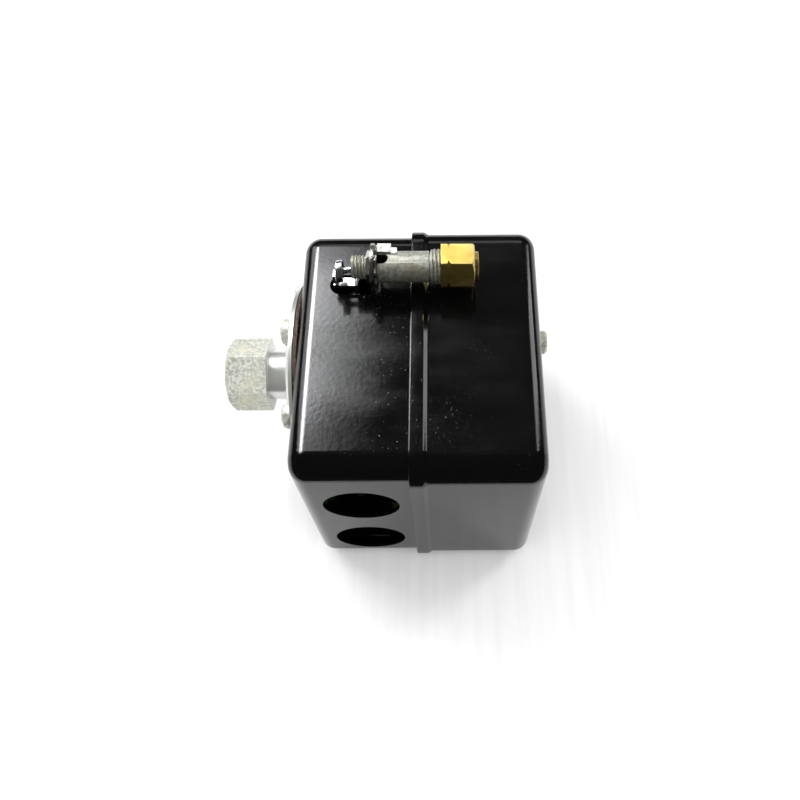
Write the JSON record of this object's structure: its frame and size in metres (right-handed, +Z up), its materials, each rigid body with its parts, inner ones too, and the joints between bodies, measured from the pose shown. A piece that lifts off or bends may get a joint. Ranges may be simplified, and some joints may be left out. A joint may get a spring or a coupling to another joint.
{
  "type": "pressure switch",
  "caption": "Air pressure switch in a drawn black steel box, with a hexagonal pressure port, conduit holes and a small brass-nutted unloader valve on top.",
  "frame": {"origin": "centre of the overall box in plan, on the surface the switch lies on (the lip of the cover touches it)", "axes": "-X along the pressure port away from the casing, +X towards the cover's end, -Y through the conduit holes, +Z up through the side that carries the unloader valve"},
  "size_m": [0.102, 0.0834, 0.093],
  "materials": {
    "black_paint": "gloss black paint on drawn steel",
    "zinc_cast": "die-cast zinc, satin",
    "zinc_plate": "bright zinc plate",
    "steel": "bright steel",
    "dark_steel": "black oxide steel",
    "brass": "turned brass, polished",
    "rubber": "rubberised fabric",
    "moulded": "dark moulded phenolic",
    "green": "green plated steel"
  },
  "bodies": {
    "housing": {"port_flange": "zinc_cast", "diaphragm": "rubber", "housing": "black_paint", "frame": "zinc_plate", "pivot_pin": "steel", "range_stud": "steel", "range_spring": "steel", "diff_stud": "steel", "diff_spring": "steel", "contact_block": "moulded", "ground_screw": "green", "valve_bracket": "dark_steel", "bracket_rivet_1": "dark_steel", "bracket_rivet_2": "dark_steel", "valve_body": "zinc_cast", "jam_nut": "zinc_plate", "star_washer": "zinc_plate", "valve_spring": "steel", "ferrule": "brass", "flange_screw_1": "zinc_plate", "flange_screw_2": "zinc_plate", "flange_screw_3": "zinc_plate", "flange_screw_4": "zinc_plate", "flange_screw_5": "zinc_plate", "flange_screw_6": "zinc_plate", "block_screw_1": "steel", "block_screw_2": "steel", "terminal_1": "brass", "terminal_clamp_1": "zinc_plate", "terminal_screw_1": "brass", "terminal_2": "brass", "terminal_clamp_2": "zinc_plate", "terminal_screw_2": "brass", "terminal_3": "brass", "terminal_clamp_3": "zinc_plate", "terminal_screw_3": "brass", "terminal_4": "brass", "terminal_clamp_4": "zinc_plate", "terminal_screw_4": "brass"},
    "cover": {"cover": "black_paint"},
    "cover_nut": {"cover_nut": "zinc_plate"},
    "pusher": {"pusher": "moulded"},
    "operating_plate": {"operating_plate": "zinc_plate", "unloader_arm": "zinc_plate", "arm_rivet_1": "steel", "arm_rivet_2": "steel", "spring_cup": "zinc_plate", "diff_cup": "zinc_plate"},
    "carrier": {"contact_carrier": "moulded", "contact_bridge_1": "brass", "contact_bridge_2": "brass", "contact_spring_1": "steel", "contact_spring_2": "steel"},
    "stem": {"valve_stem": "steel"},
    "range_washer": {"range_washer": "zinc_plate"},
    "range_nut": {"range_nut": "zinc_plate"},
    "diff_washer": {"diff_washer": "zinc_plate"},
    "diff_nut": {"diff_nut": "zinc_plate"},
    "compression_nut": {"compression_nut": "brass"}
  },
  "joints": [
    {"name": "plate_tilt", "type": "hinge", "parent": "housing", "child": "operating_plate", "pos_m": [-0.016, -0.003, 0.0454], "axis": [0, 0, 1], "range_deg": [-5, 0], "stiffness_Nm_per_rad": 2, "deforming": ["range_spring", "diff_spring"]},
    {"name": "pusher_slide", "type": "slide", "parent": "housing", "child": "pusher", "axis": [1, 0, 0], "range_m": [0, 0.00088], "deforming": ["diaphragm"]},
    {"name": "carrier_slide", "type": "slide", "parent": "housing", "child": "carrier", "axis": [1, 0, 0], "range_m": [-0.00149, 0]},
    {"name": "stem_slide", "type": "slide", "parent": "housing", "child": "stem", "axis": [1, 0, 0], "range_m": [0, 0.00208], "deforming": ["valve_spring"]},
    {"name": "range_travel", "type": "slide", "parent": "housing", "child": "range_washer", "axis": [1, 0, 0], "range_m": [-0.0016, 0.0016]},
    {"name": "range_nut_turn", "type": "hinge", "parent": "range_washer", "child": "range_nut", "pos_m": [0.0215, 0.0183, 0.0454], "axis": [1, 0, 0], "range_deg": [-720, 720]},
    {"name": "diff_travel", "type": "slide", "parent": "housing", "child": "diff_washer", "axis": [1, 0, 0], "range_m": [-0.001, 0.001]},
    {"name": "diff_nut_turn", "type": "hinge", "parent": "diff_washer", "child": "diff_nut", "pos_m": [0.0085, 0.0306, 0.0454], "axis": [1, 0, 0], "range_deg": [-720, 720]},
    {"name": "compression_nut_turn", "type": "hinge", "parent": "housing", "child": "compression_nut", "pos_m": [0.0215, 0.0192, 0.0864], "axis": [1, 0, 0], "continuous": true},
    {"name": "cover_slide", "type": "slide", "parent": "housing", "child": "cover", "axis": [1, 0, 0], "range_m": [0, 0.06]},
    {"name": "cover_nut_turn", "type": "hinge", "parent": "cover", "child": "cover_nut", "pos_m": [0.048, 0.0183, 0.0454], "axis": [1, 0, 0], "continuous": true}
  ],
  "couplings": [
    {"joint": "pusher_slide", "follows": "plate_tilt", "m_per_rad": -0.01},
    {"joint": "carrier_slide", "follows": "plate_tilt", "m_per_rad": 0.017},
    {"joint": "stem_slide", "follows": "plate_tilt", "m_per_rad": -0.0237},
    {"joint": "range_nut_turn", "follows": "range_travel", "rad_per_m": 7854},
    {"joint": "diff_nut_turn", "follows": "diff_travel", "rad_per_m": 12566}
  ]
}
